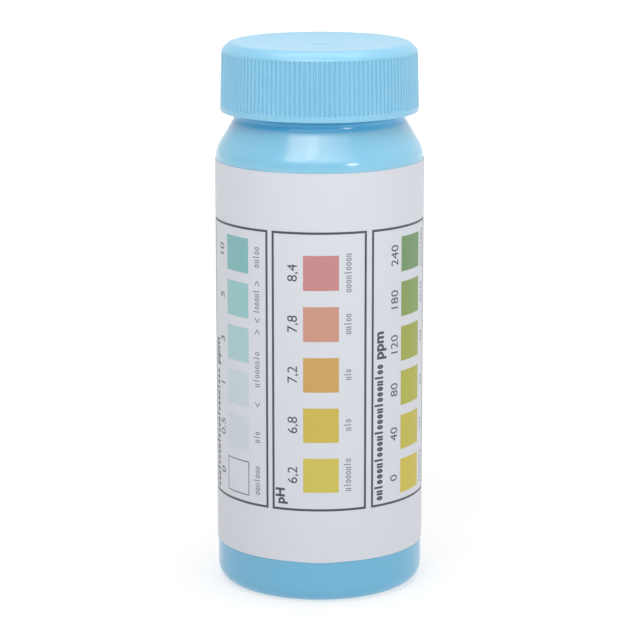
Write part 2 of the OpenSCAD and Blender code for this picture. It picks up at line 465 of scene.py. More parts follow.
def label_paper():
    """Coated label paper: near white, faint fibre mottling and a soft satin face."""
    look = Look("label_coated_paper", ior=1.45)
    mottle = look.spread(look.noise(0.35, 3, 0.6), 0.3, 0.7)
    fibre = look.spread(look.noise(5, 3), 0.3, 0.7)
    fine = look.blend(mottle, shade(PAPER_WHITE, 0.988), shade(PAPER_WHITE, 1.012))
    broad = look.blend(fibre, shade(PAPER_WHITE, 0.99), shade(PAPER_WHITE, 1.01))
    # half of each
    both = look.add("ShaderNodeMix", data_type="RGBA")
    look.link(fine, both.inputs[6])
    look.link(broad, both.inputs[7])
    look.colour(both.outputs[2])
    look.roughness(look.spread(look.noise(2, 2), 0.3, 0.7, 0.44, 0.54))
    look.bump(look.noise(0.18, 2), 0.002)
    look.bump(look.noise(4, 1, 0.5, look.stretched(1, 1, 0.2)), 0.012)
    return look.material


def ink_finish(look, smooth, rough):
    """The satin of ink on coated paper, with roughness from smooth to rough."""
    look.roughness(look.spread(look.noise(0.6, 2), 0.3, 0.7, smooth, rough))
    look.bump(look.noise(0.18, 2), 0.002)


def dark_ink():
    """Dark grey offset ink, a little uneven where it takes on the paper."""
    look = Look("chart_dark_ink")
    cover = look.spread(look.noise(0.12, 3, 0.7), 0.3, 0.75)
    look.colour(look.blend(cover, (0.040, 0.043, 0.060), (0.085, 0.090, 0.115)))
    ink_finish(look, 0.36, 0.5)
    return look.material


def grey_ink():
    """The same ink laid thinly, as small lettering takes it."""
    look = Look("chart_grey_ink")
    cover = look.spread(look.noise(0.1, 3, 0.7), 0.3, 0.75)
    look.colour(look.blend(cover, (0.13, 0.14, 0.17), (0.24, 0.25, 0.29)))
    ink_finish(look, 0.4, 0.54)
    return look.material


def swatch_ink(name, code):
    """Flat printed colour with the fine grain of its screen."""
    ink = linear(code)
    look = Look(name)
    grain = look.spread(look.noise(0.16, 2, 0.7), 0.3, 0.7)
    look.colour(look.blend(grain, shade(ink, 0.93), shade(ink, 1.07)))
    ink_finish(look, 0.42, 0.54)
    return look.material


def liner_foam():
    """Closed-cell polyethylene foam: matt, with fine cells."""
    look = Look("liner_closed_cell_foam", roughness=0.75)
    cells = look.add("ShaderNodeTexVoronoi", feature="SMOOTH_F1")
    cells.inputs["Scale"].default_value = 1 / (0.35 * MM)
    look.link(look.place, cells.inputs["Vector"])
    size = look.spread(cells.outputs["Distance"], 0.1, 0.6)
    look.colour(look.blend(size, (0.80, 0.82, 0.84), (0.66, 0.69, 0.72)))
    look.bump(size, -0.04)
    look.bump(look.noise(1.5, 2), 0.03)
    return look.material


def strip_film():
    """White polystyrene carrier: smooth with faint lines along its length from the slitting knife."""
    look = Look("strip_white_film", subsurface_weight=0.05)
    look.shader.inputs["Subsurface Scale"].default_value = 0.3 * MM
    drift = look.spread(look.noise(3, 2), 0.3, 0.7)
    look.colour(look.blend(drift, (0.80, 0.80, 0.78), (0.86, 0.86, 0.85)))
    lines = look.noise(0.3, 3, 0.6, look.stretched(1, 1, 0.03))
    look.roughness(look.spread(lines, 0.3, 0.7, 0.28, 0.42))
    look.bump(lines, 0.004)
    return look.material


def reagent_pad(name, deep, pale):
    """Absorbent paper soaked in reagent and dried: fibrous and matt, paler in patches."""
    look = Look(name, roughness=0.9)
    fibres = look.noise(0.12, 4, 0.7, look.stretched(1, 1, 0.35))
    blotch = look.spread(look.noise(1.6, 3), 0.35, 0.7)
    weave = look.spread(fibres, 0.3, 0.7)
    body = look.blend(blotch, deep, pale)
    look.colour(look.blend(weave, shade(deep, 0.92), body))
    look.bump(fibres, 0.05)
    return look.material


def canister_plastic():
    """White polyethylene, a little waxy and translucent."""
    look = Look("canister_white_polyethylene", subsurface_weight=0.2)
    look.shader.inputs["Subsurface Scale"].default_value = 0.8 * MM
    drift = look.spread(look.noise(4, 2), 0.3, 0.7)
    look.colour(look.blend(drift, (0.79, 0.79, 0.77), (0.85, 0.85, 0.83)))
    look.roughness(look.spread(look.noise(0.8, 3), 0.3, 0.7, 0.36, 0.5))
    look.bump(look.noise(0.3, 2), 0.006)
    return look.material


def silica_gel():
    """Amber indicating gel beads, clear in patches and crazed inside."""
    look = Look("silica_gel_amber", ior=1.46, transmission_weight=0.45)
    crazing = look.spread(look.noise(0.5, 4, 0.6), 0.35, 0.7)
    look.colour(look.blend(crazing, (0.86, 0.50, 0.12), (0.95, 0.78, 0.45)))
    look.roughness(look.spread(look.noise(0.4, 2), 0.3, 0.7, 0.08, 0.2))
    look.bump(look.noise(0.8, 2), 0.03)
    return look.material


# ---------------------------------------------------------------------------------------------
# Bottle
# ---------------------------------------------------------------------------------------------

SEAMS = (-math.pi / 2, math.pi / 2)
SEAM_OFFSETS_DEG = (0.35, 0.7, 1.1, 1.6)
BODY_COLUMNS = 240


def body_angles():
    """Even columns, with more of them close to the two parting lines."""
    angles = {round(TAU * i / BODY_COLUMNS, 9) for i in range(BODY_COLUMNS)}
    for seam in SEAMS:
        for off in SEAM_OFFSETS_DEG:
            angles |= {round((seam + sign * math.radians(off)) % TAU, 9) for sign in (-1, 1)}
    return sorted(angles)


def seam_line(angle, radius):
    """Height of the mould's parting line, in front and behind."""
    off = min(abs((angle - seam + math.pi) % TAU - math.pi) for seam in SEAMS) * radius
    return SEAM_H * math.exp(-((off / SEAM_W) ** 2))


def waves(angle, z):
    """The slight unevenness of a blown wall."""
    broad = 0.035 * math.sin(2 * angle + 0.6) * math.sin(z * 0.07)
    close = 0.018 * math.sin(5 * angle - z * 0.11) + 0.012 * math.sin(9 * angle + z * 0.23)
    return broad + close


def bottle_outside():
    """Profile from the middle of the base, out and up to the rim."""
    blend_r = SHOULDER_R * (1 - math.cos(SLOPE))
    cone_drop = (BODY_R - blend_r - NECK_R) / math.tan(SLOPE)
    blend_top_z = SHOULDER_TOP_Z - cone_drop
    blend_z = blend_top_z - SHOULDER_R * math.sin(SLOPE)
    base = [(0, PUSH_UP_H)] + [(r, PUSH_UP_H) for r in even(1.5, PUSH_UP_R - 0.4, 8)]
    rise = [(PUSH_UP_R + t * (RING_IN_R - PUSH_UP_R), PUSH_UP_H * (1 - smooth_step(t)))
            for t in even(0, 1, 6)]
    foot = arc(BODY_R - FOOT_R, FOOT_R, FOOT_R, -90, 0, 12)
    side = [(BODY_R, z) for z in even(foot[-1][1] + 2, blend_z - 2, 18)]
    shoulder = arc(BODY_R - SHOULDER_R, blend_z, SHOULDER_R, 0, math.degrees(SLOPE), 12)
    # the cone ends where a hollow curve carries it round into the collar
    tangent = COLLAR_CURVE_R * math.tan(SLOPE / 2)
    cone_end = (COLLAR_R + tangent * math.sin(SLOPE), COLLAR_Z - tangent * math.cos(SLOPE))
    cone = [tuple(a + (b - a) * t for a, b in zip(shoulder[-1], cone_end)) for t in even(0.1, 1, 10)]
    curve = arc(COLLAR_R + COLLAR_CURVE_R, COLLAR_Z + tangent, COLLAR_CURVE_R,
                180 + math.degrees(SLOPE), 180, 10)[1:]
    collar = arc(COLLAR_R - COLLAR_EDGE_R, SHOULDER_TOP_Z - COLLAR_EDGE_R, COLLAR_EDGE_R, 0, 90, 3)
    neck = [(NECK_R, z) for z in even(SHOULDER_TOP_Z + 0.05, RIM_Z - RIM_EDGE_R - 0.2, 52)]
    rim = arc(NECK_R - RIM_EDGE_R, RIM_Z - RIM_EDGE_R, RIM_EDGE_R, 0, 90, 5)
    return base + rise + foot + side + shoulder + cone + curve + collar + neck + rim


def bottle_inside():
    """Profile from the rim, down the bore and out to the floor."""
    slope_top_z = SHOULDER_TOP_Z - 0.4
    slope_low_z = slope_top_z - (INNER_R - BORE_R) / math.tan(SLOPE)
    lip = arc(BORE_R + RIM_EDGE_R, RIM_Z - RIM_EDGE_R, RIM_EDGE_R, 90, 180, 5)
    shoulder = [(BORE_R + t * (INNER_R - BORE_R), slope_top_z + t * (slope_low_z - slope_top_z))
                for t in even(0, 1, 8)]
    side = [(INNER_R, z) for z in even(slope_low_z - 3, FLOOR_Z + FLOOR_CORNER_R + 2, 10)]
    corner = arc(INNER_R - FLOOR_CORNER_R, FLOOR_Z + FLOOR_CORNER_R, FLOOR_CORNER_R, 0, -90, 6)
    return lip + shoulder + side + corner + [(INNER_R * 0.5, FLOOR_Z), (0, FLOOR_Z)]


def blown(r, z, angle):
    """A point of the bottle's outside as moulded: waves, parting lines, thread and pinched base."""
    if z < PUSH_UP_H + 0.01 and r < RING_IN_R:
        # the pinch-off line runs across the push-up under the parting lines
        off = abs(r * math.cos(angle))
        inside = 1 - smooth_step((r - PUSH_UP_R + 3) / 2)
        return r, z - PINCH_H * inside * math.exp(-((off / PINCH_W) ** 2))
    if z < FOOT_R * 0.3:
        return r, z
    if z > SHOULDER_TOP_Z + 0.6:
        height = tooth(angle, z, NECK_THREAD_Z, 0)
        return r + TOOTH_H * height, z
    amount = smooth_step((z - FOOT_R * 0.3) / 4) * smooth_step((SHOULDER_TOP_Z - z) / 2)
    under_label = 0.0 if LABEL_LOW.z < z < LABEL_HIGH.z else 1.0
    return r + amount * (under_label * waves(angle, z) + seam_line(angle, r)), z


def build_bottle(material):
    angles = body_angles()
    rings = turned(bottle_outside(), angles, shift=blown) + turned(bottle_inside(), angles)
    points, faces = skin(rings)
    make_piece("bottle_body", points, faces, [material], "bottle", ["bottle"])


# ---------------------------------------------------------------------------------------------
# Label and its printing
# ---------------------------------------------------------------------------------------------

LABEL_COLUMNS = 300
LABEL_ROWS = 48
DIP_H = 0.15
DIP_HALF_W = 5.0
RISE_H = 0.12

# how far ink stands above and reaches below the label's face, and how finely it is cut round the label
# and up it, so that it follows the face
INK_LIFT = 0.014
INK_SUNK = 0.04
CUT_ROUND = 0.7
CUT_UP = 4
DARK, GREY = 0, 1


def label_angle(u):
    """Angle of a place u millimetres round the label from its front middle, towards +X."""
    return -math.pi / 2 + u / LABEL_R


def label_face(u, z):
    """Radius of the label's outer face, which lies a little unevenly."""
    lie = 0.012 * math.sin(u * 0.31 + 0.4) * math.sin(z * 0.09) + 0.006 * math.sin(u * 0.83 - z * 0.05)
    return LABEL_R - 0.01 + lie


def on_label(u, z, lift=0.0):
    return polar(label_face(u, z) + lift, label_angle(u), z)


def build_label(material):
    """The sheet. Its lower edge dips in front at the parting line, and its upper one rises at the right."""
    columns = even(-HALF_TURN, HALF_TURN, LABEL_COLUMNS)
    rows = even(0, 1, LABEL_ROWS)

    def height(u, t):
        dip = DIP_H * max(0.0, 1 - abs(u) / DIP_HALF_W)
        rise = RISE_H * smooth_step((u - 4) / 20) * (1 - smooth_step((u - 30) / 10))
        low, high = LABEL_LOW.z - dip, LABEL_HIGH.z + rise
        return low + (high - low) * t

    rings = []
    for u in columns:
        outer = [on_label(u, height(u, t)) for t in rows]
        inner = [on_label(u, height(u, t), -LABEL_T) for t in reversed(rows)]
        rings.append(outer + inner)
    points, faces = capped(rings)
    make_piece("label_sheet", points, faces, [material], "bottle", ["label"])


class Print:
    """Ink laid on the label as thin closed solids that follow its face."""

    def __init__(self):
        self.points = []
        self.faces = []
        self.inks = []

    def solid(self, points, faces, ink=DARK):
        first = len(self.points)
        self.points += points
        self.faces += [[first + i for i in face] for face in faces]
        self.inks += [ink] * len(faces)

    def bar(self, u0, u1, z0, z1, ink=DARK):
        """A filled rectangle."""
        across = even(u0, u1, max(1, math.ceil((u1 - u0) / CUT_ROUND)))
        up = even(z0, z1, max(1, math.ceil((z1 - z0) / CUT_UP)))
        rings = []
        for u in across:
            rings.append([on_label(u, z, INK_LIFT) for z in up]
                         + [on_label(u, z, -INK_SUNK) for z in reversed(up)])
        self.solid(*capped(rings), ink)

    def line(self, start, end, width, ink):
        """A short straight stroke between two places (u, z)."""
        du, dz = end[0] - start[0], end[1] - start[1]
        length = math.hypot(du, dz)
        nu, nz = -dz / length * width / 2, du / length * width / 2
        corners = [(start[0] - nu, start[1] - nz), (end[0] - nu, end[1] - nz),
                   (end[0] + nu, end[1] + nz), (start[0] + nu, start[1] + nz)]
        points = [on_label(u, z, lift) for lift in (-INK_SUNK, INK_LIFT) for u, z in corners]
        sides = [[i, (i + 1) % 4, 4 + (i + 1) % 4, 4 + i] for i in range(4)]
        self.solid(points, [[3, 2, 1, 0], [4, 5, 6, 7], *sides], ink)

    def frame(self, u0, u1, z0, z1, width):
        """The four lines of a box, measured over their outer edges."""
        self.bar(u0, u0 + width, z0, z1)
        self.bar(u1 - width, u1, z0, z1)
        self.bar(u0 + width, u1 - width, z0, z0 + width)
        self.bar(u0 + width, u1 - width, z1 - width, z1)

    def figures(self, text, base_u, z, height, bold=0.0, start=False):
        """Figures that read upwards, their feet towards +u, centred on z or starting there."""
        points, faces = figure_mesh(text, height, bold, start)
        wrapped = [on_label(base_u - y, z + x, INK_LIFT if side > 0 else -INK_SUNK)
                   for x, y, side in points]
        self.solid(wrapped, faces)

    def ring(self, u, z, height, width, stroke, ink):
        """A closed oval, height along u and width along z, about a place (u, z)."""
        outlines = []
        for inset in (0, stroke):
            outlines.append([(u + (height / 2 - inset) * math.cos(a),
                              z + (width / 2 - inset) * math.sin(a)) for a in circle(14)])
        loops = [[on_label(*p, lift) for p in outlines[n]]
                 for n, lift in ((0, -INK_SUNK), (0, INK_LIFT), (1, INK_LIFT), (1, -INK_SUNK))]
        self.solid(*skin(loops, loop=True), ink)

    def words(self, base_u, low_z, length, height, stroke, ink):
        """Blank words: rings and plain strokes with the density of small print, reading upwards."""
        pitch = height * 0.78
        count = max(1, round(length / pitch))
        step = length / count
        for n in range(count):
            z = low_z + (n + 0.5) * step
            kind = (n * 3 + count) % 5
            if kind in (0, 2, 4):
                self.ring(base_u - height / 2, z, height, step * 0.8, stroke, ink)
            elif kind == 1:
                self.bar(base_u - height * 1.42, base_u, z - stroke / 2, z + stroke / 2, ink)
            else:
                for side in (-1, 1):
                    middle = z + side * step * 0.24
                    self.bar(base_u - height, base_u, middle - stroke / 2, middle + stroke / 2, ink)

    def make(self, name, materials):
        make_piece(name, self.points, self.faces, materials, "bottle", indices=self.inks,
                   sharp_deg=30)


# height of a figure in a font of size 1, and how much wider than the font's own the figures are
FIGURE_RISE = 0.73
FIGURE_WIDTH = 1.04


def figure_mesh(text, height, bold, start):
    """A closed flat mesh of figures: points (x along, y up, side of the sheet) and faces."""
    curve = bpy.data.curves.new("figures", "FONT")
    curve.body = text
    curve.align_x = "LEFT" if start else "CENTER"
    curve.size = height / FIGURE_RISE
    curve.offset = bold
    curve.extrude = 0.01
    curve.resolution_u = 4
    holder = put("figures", curve)
    mesh = evaluated_mesh(holder)
    work = bmesh.new()
    work.from_mesh(mesh)
    bmesh.ops.remove_doubles(work, verts=work.verts, dist=1e-5)
    for n in range(-1, math.ceil(height / CUT_ROUND) + 1):
        cut_at = (0, n * CUT_ROUND + 0.1, 0)
        bmesh.ops.bisect_plane(work, geom=[*work.verts, *work.edges, *work.faces],
                               plane_co=cut_at, plane_no=(0, 1, 0), dist=1e-6)
    points = [(v.co.x * FIGURE_WIDTH, v.co.y, v.co.z) for v in work.verts]
    faces = [[v.index for v in f.verts] for f in work.faces]
    work.free()
    bpy.data.objects.remove(holder)
    bpy.data.curves.remove(curve)
    bpy.data.meshes.remove(mesh)
    return points, faces


class Rows:
    """Places of a column of colours, from the top down."""

    def __init__(self, top_z, pitch, height):
        self.top_z, self.pitch, self.height = top_z, pitch, height

    def top(self, n):
        return self.top_z - n * self.pitch

    def middle(self, n):
        return self.top(n) - self.height / 2


# the three charts: boxes from CHART_LOW_Z to CHART_HIGH_Z, each CHART_W wide
CHART_LOW_Z = 17.4
CHART_HIGH_Z = 68.3
CHART_W = 17.42
LINE_W = 0.42
CHLORINE_BOX_U = -9.62 - CHART_W
PH_BOX_U = -8.78
ALKALINITY_BOX_U = 9.68
PH_ROWS = Rows(64.1, 9.23, 6.3)
SIDE_ROWS = Rows(66.3, 8.2, 6.35)
CHLORINE_SWATCH_U = (-20.15, -13.95)
PH_SWATCH_U = (-2.95, 3.45)
ALKALINITY_SWATCH_U = (16.7, 23.15)

# small print beside the colours, and the larger print of a title: height and stroke
NOTE = (1.0, 0.17)
TITLE = (1.3, 0.38)
UNIT_BOLD = 0.1
EMPTY_LINE_W = 0.16
# half the width and the depth of an arrow's head
ARROW = (0.5, 0.85)

CHLORINE_COLOURS = ["7db2b3", "91c0c1", "a5c6ca", "c1ced3", "c7ced5"]
PH_COLOURS = ["bf8181", "c38f7c", "c49b58", "c6af4a", "c6b850"]
ALKALINITY_COLOURS = ["6c9060", "809851", "9aa243", "abac3c", "beb142", "c7b643"]


def boxed(box_u):
    """A chart with nothing but its box."""
    chart = Print()
    chart.frame(box_u, box_u + CHART_W, CHART_LOW_Z, CHART_HIGH_Z, LINE_W)
    return chart


def swatches(name, colours, across, rows):
    """A column of printed colours."""
    ink = Print()
    for n in range(len(colours)):
        ink.bar(*across, rows.top(n) - rows.height, rows.top(n), n)
    ink.make(name, [swatch_ink(f"{name}_{n + 1}", code) for n, code in enumerate(colours)])


def column(chart, figures, base_u, rows, height):
    """The figures beside a column of colours, each centred on its own."""
    for n, text in enumerate(figures):
        chart.figures(text, base_u, rows.middle(n), height)


def notes(chart, lengths, base_u, rows):
    """Blank words beside a column of colours, each centred on its own."""
    for n, length in enumerate(lengths):
        chart.words(base_u, rows.middle(n) - length / 2, length, *NOTE, GREY)


def ph_chart():
    chart = boxed(PH_BOX_U)
    swatches("ph_swatches", PH_COLOURS, PH_SWATCH_U, PH_ROWS)
    column(chart, ["8,4", "7,8", "7,2", "6,8", "6,2"], base_u=-4.05, rows=PH_ROWS, height=1.88)
    chart.figures("pH", base_u=-6.45, z=18.5, height=1.75, bold=0.09, start=True)
    notes(chart, (7.15, 3.9, 2.1, 2.3, 6.2), base_u=5.75, rows=PH_ROWS)
    return chart


def chlorine_chart():
    """The chart at the left, whose lowest place is an empty box and whose notes have arrows beside them."""
    chart = boxed(CHLORINE_BOX_U)
    swatches("chlorine_swatches", CHLORINE_COLOURS, CHLORINE_SWATCH_U, SIDE_ROWS)
    column(chart, ["10", "5", "3", "1", "0,5", "0"], base_u=-21.45, rows=SIDE_ROWS, height=1.9)
    empty_top = SIDE_ROWS.top(len(CHLORINE_COLOURS))
    chart.frame(*CHLORINE_SWATCH_U, empty_top - SIDE_ROWS.height, empty_top, EMPTY_LINE_W)
    title_u = -24.2
    chart.words(title_u, 18.2, 22.4, *TITLE, DARK)
    chart.figures("ppm", title_u, z=41.4, height=2.0, bold=UNIT_BOLD, start=True)
    # the notes, from where each starts and how long it is, and the arrows from one place to another
    for low_z, length in ((61.2, 3.9), (52.9, 4.4), (39.4, 6.6), (29.1, 2.2), (19.4, 5.5)):
        chart.words(-11.4, low_z, length, *NOTE, GREY)
    arrow_u = -11.9
    half_w, depth = ARROW
    for low_z, high_z in ((51.3, 58.9), (35.8, 50.0)):
        for point_z, open_z in ((low_z, low_z + depth), (high_z, high_z - depth)):
            for off in (-half_w, half_w):
                chart.line((arrow_u, point_z), (arrow_u + off, open_z), NOTE[1], GREY)
    return chart


def alkalinity_chart():
    chart = boxed(ALKALINITY_BOX_U)
    swatches("alkalinity_swatches", ALKALINITY_COLOURS, ALKALINITY_SWATCH_U, SIDE_ROWS)
    column(chart, ["240", "180", "120", "80", "40", "0"], base_u=15.75, rows=SIDE_ROWS, height=1.84)
    title_u = 12.2
    chart.words(title_u, 18.4, 25.4, *TITLE, DARK)
    chart.figures("ppm", title_u, z=44.6, height=2.05, bold=UNIT_BOLD, start=True)
    notes(chart, (7.15, 3.9, 2.1, 2.1, 2.3, 6.2), base_u=25.4, rows=SIDE_ROWS)
    return chart


def build_print():
    inks = [dark_ink(), grey_ink()]
    ph, chlorine, alkalinity = ph_chart(), chlorine_chart(), alkalinity_chart()
    chlorine.make("chlorine_chart", inks)
    ph.make("ph_chart", inks)
    alkalinity.make("alkalinity_chart", inks)


# ---------------------------------------------------------------------------------------------
# Cap and liner
# ---------------------------------------------------------------------------------------------


def rib_gap(angle):
    """0 on a rib's land, 1 in the groove beside it, with rounded shoulders between."""
    along = (angle / TAU * RIB_COUNT + 0.5) % 1.0
    off = abs(along - 0.5)
    return smooth_step((off - (RIB_LAND / 2 - 0.09)) / 0.16)


def ribbed(r, z, angle):
    """A point of the cap's outside, sunk to the grooves' floor between the ribs."""
    if z < CAP_Z + BAND_H:
        return r, z
    depth = RIB_DEPTH * smooth_step((CAP_TOP_Z - RIB_END_H - z) / 0.4 + 0.5)
    return r - rib_gap(angle) * depth, z


def cap_threaded(r, z, angle):
    """A point of the cap's bore, drawn in where the thread's tooth stands."""
    height = tooth(angle, z, CAP_THREAD_Z, CAP_THREAD_START)
    return r - TOOTH_H * height, z


def cap_inside():
    """Profile from the open edge, up the bore and in to the middle of the ceiling."""
    edge = 0.5
    return (
        [(CAP_BORE_R + 0.25, CAP_Z), (CAP_BORE_R, CAP_Z + 0.25)]
        + [(CAP_BORE_R, z) for z in even(CAP_Z + 0.6, PLATE_Z - 2.6, 44)]
        + arc(CAP_BORE_R - edge, PLATE_Z - edge, edge, 0, 90, 4)
        + [(11, PLATE_Z), (5, PLATE_Z), (0, PLATE_Z)]
    )


def cap_side():
    """Profile from the plain band, up the drafted side and over the bevel."""
    band_r = CAP_R - BAND_H * DRAFT
    band = [(band_r, CAP_Z + BAND_H - 0.03), (band_r, CAP_Z + BAND_H + 0.1)]
    bevel_z = CAP_TOP_Z - BEVEL_H
    heights = even(CAP_Z + BAND_H + 0.5, bevel_z - 0.7, 7) + even(bevel_z - 0.6, bevel_z, 6)
    side = [(CAP_R - (z - CAP_Z) * DRAFT, z) for z in heights]
    tilt = DRAFT_DEG
    for radius, end in BEVEL_ARCS:
        r, z = side[-1]
        turn = math.radians(tilt)
        side += arc(r - radius * math.cos(turn), z - radius * math.sin(turn), radius, tilt, end, 6)[1:]
        tilt = end
    return band + side


def cap_top(rim_r, rim_z):
    """Profile from the bevel's end, over a shallow hollow, to the gate's scar: a fine ring and a pip."""
    low_z = rim_z - TOP_HOLLOW
    plate = [(r, low_z + TOP_HOLLOW * (r / rim_r) ** 2) for r in (13.8, 12.5, 11, 9, 6.5, 4, 2.5)]
    gate = [(GATE_R + 0.14, low_z), (GATE_R, low_z - 0.1), (GATE_R - 0.14, low_z - 0.02),
            (0.45, low_z - 0.02), (0.3, low_z - 0.09), (0, low_z - 0.1)]
    return plate + gate


def build_cap(material):
    fine = circle(RIB_COUNT * RIB_STEPS)
    coarse = fine[::4]
    lip = arc(CAP_R - LIP_R, CAP_Z + LIP_R, LIP_R, -90, 0, 3)
    side = cap_side()
    # rings run from the middle of the ceiling, down the bore, round the lip, up the ribs and over the top
    rings = turned(cap_inside()[::-1], coarse, shift=cap_threaded)
    rings += turned(lip, fine)
    rings += turned(side, fine, shift=ribbed)
    rings += turned(cap_top(*side[-1]), coarse)
    points, faces = skin(rings)
    make_piece("cap_shell", points, faces, [material], "cap", ["cap"])


def build_liner(material):
    """A punched foam disc, its edge rounded and its underside pressed in by the rim."""
    radius = LINER_HIGH.x
    low, high = LINER_LOW.z, LINER_HIGH.z
    edge = 0.3
    middle_r = (NECK_R + BORE_R) / 2
    press = [(middle_r + off, low - 0.02 + 0.06 * math.exp(-((off / 0.6) ** 2)))
             for off in even(-1.6, 1.6, 12)]
    profile = (
        [(0, low), (5, low), (10, low)] + press[:-1]
        + arc(radius - edge, low + edge, edge, -90, 0, 5) + arc(radius - edge, high - edge, edge, 0, 90, 5)
        + [(8, high), (0, high)]
    )
    points, faces = skin(turned(profile, circle(160)))
    piece = make_piece("liner_disc", points, faces, [material], "liner", ["cap_liner"])


# ---------------------------------------------------------------------------------------------
# Strips, pads and desiccant
# ---------------------------------------------------------------------------------------------


def rounded_plate(low, high, corner, edge):
    """A thin upright plate between two corners, thin along Y, with rounded corners and softened edges."""
    centres = [(high.x - corner, high.z - corner, 0), (low.x + corner, high.z - corner, 90),
               (low.x + corner, low.z + corner, 180), (high.x - corner, low.z + corner, 270)]

    def outline(inset, y):
        points = []
        for x, z, first in centres:
            for px, pz in arc(x, z, corner - inset, first, first + 90, 4):
                points.append((px, y, pz))
        return points[::-1]

    places = ((edge, low.y), (0, low.y + edge), (0, high.y - edge), (edge, high.y))
    return capped([outline(inset, y) for inset, y in places])


def build_strips(material):
    for name in STRIPS:
        low, high = box_mm(name)
        points, faces = rounded_plate(low, high, 0.45, 0.06)
        make_piece(f"{name}_film", points, faces, [material], "strips", [name])


def pad_mesh(low_x, back_y, low_z, seed):
    """One absorbent pad on a strip's face: a low cushion with soft, slightly uneven edges."""
    steps = 8
    fibre_h = 0.012
    top = []
    for i in range(steps + 1):
        for j in range(steps + 1):
            s, t = i / steps, j / steps
            edge = min(s, 1 - s, t, 1 - t) * PAD_SIDE
            rise = PAD_T * (0.62 + 0.38 * smooth_step(edge / 0.7))
            fibre = fibre_h * math.sin(seed * 1.7 + i * 2.1 + j * 3.3)
            wander = 0.03 * math.sin(seed + (i + j) * 1.9) if edge == 0 else 0
            x = low_x + s * PAD_SIDE + wander * (0.5 - s)
            z = low_z + t * PAD_SIDE + wander * (0.5 - t)
            top.append((x, back_y + min(PAD_T, rise - fibre_h + fibre), z))
    side = steps + 1
    points = top + [(x, back_y, z) for x, y, z in top]
    faces = []
    for i in range(steps):
        for j in range(steps):
            a = i * side + j
            faces.append([a, a + 1, a + side + 1, a + side])
    rim = ([i * side for i in range(steps)] + [steps * side + j for j in range(steps)]
           + [i * side + steps for i in range(steps, 0, -1)] + [j for j in range(steps, 0, -1)])
    below = len(top)
    for a, b in zip(rim, rim[1:] + rim[:1]):
        faces.append([a, b, b + below, a + below])
    faces.append([a + below for a in rim])
    return points, faces


def build_pads():
    kinds = {
        "chlorine_pads": ("chlorine_pad", (0.82, 0.80, 0.72), (0.86, 0.83, 0.74)),
        "ph_pads": ("ph_pad", (0.80, 0.36, 0.08), (0.86, 0.45, 0.12)),
        "alkalinity_pads": ("alkalinity_pad", (0.50, 0.46, 0.10), (0.60, 0.55, 0.16)),
    }
    for node, (slot, deep, pale) in kinds.items():
        low_z = box_mm(node)[0].z
        meshes = []
        for n, name in enumerate(STRIPS):
            low, high = box_mm(name)
            meshes.append(pad_mesh((low.x + high.x - PAD_SIDE) / 2, high.y, low_z, n))
        points, faces = join(meshes)
        material = reagent_pad(f"{slot}_paper", deep, pale)
        make_piece(f"{node}_paper", points, faces, [material], "strips", [node])


def build_canister(material):
    low, high = CANISTER_LOW.z, CANISTER_HIGH.z
    inner_r = CANISTER_R - CANISTER_WALL
    foot = 1.0
    foot_r = CANISTER_R - foot
    profile = (
        [(0, low + 0.15), (foot_r - 1.2, low + 0.15), (foot_r - 0.8, low)]
        + arc(foot_r, low + foot, foot, -90, 0, 6)
        + [(CANISTER_R, z) for z in even(low + 2, high - 0.2, 6)]
        + [(CANISTER_R - 0.12, high), (inner_r + 0.1, high), (inner_r, high - 0.15)]
        + [(inner_r, low + 1.2), (inner_r - 0.35, low + 0.85), (0, low + 0.8)]
    )
    points, faces = skin(turned(profile, circle(96), CANISTER_AXIS))
    make_piece("desiccant_pot", points, faces, [material], "desiccant",
               ["desiccant_canister"])


def build_beads(material):
    """Layers of one bead in the middle and a ring round it, each layer turned by half a bead."""
    ring_r = (BEADS_HIGH.x - BEADS_LOW.x) / 2 - BEAD_R
    x, y = CANISTER_AXIS
    meshes = []
    for layer in range(BEAD_LAYERS):
        z = BEADS_LOW.z + BEAD_R + layer * (2 * BEAD_R + 0.02)
        turns = [TAU * (n + layer / 2) / BEADS_IN_RING for n in range(BEADS_IN_RING)]
        for off_x, off_y in [(0, 0)] + [polar(ring_r, turn, 0)[:2] for turn in turns]:
            meshes.append(bead((x + off_x, y + off_y, z), BEAD_R, len(meshes)))
    points, faces = join(meshes)
    make_piece("desiccant_gel", points, faces, [material], "desiccant", ["desiccant_beads"])


def bead(centre, radius, seed):
    """A gel bead, a little out of round."""
    share = 0.985
    steps = 10
    rings = [[(centre[0], centre[1], centre[2] - radius * share)]]
    for k in range(1, steps):
        tilt = math.pi * k / steps
        ring = []
        for a in circle(2 * steps):
            r = radius * (share - 0.012 * math.sin(2 * a + seed) * math.sin(tilt) ** 2)
            x, y, z = polar(r * math.sin(tilt), a, centre[2] - r * math.cos(tilt))
            ring.append((centre[0] + x, centre[1] + y, z))
        rings.append(ring)
    rings.append([(centre[0], centre[1], centre[2] + radius * share)])
    return skin(rings)


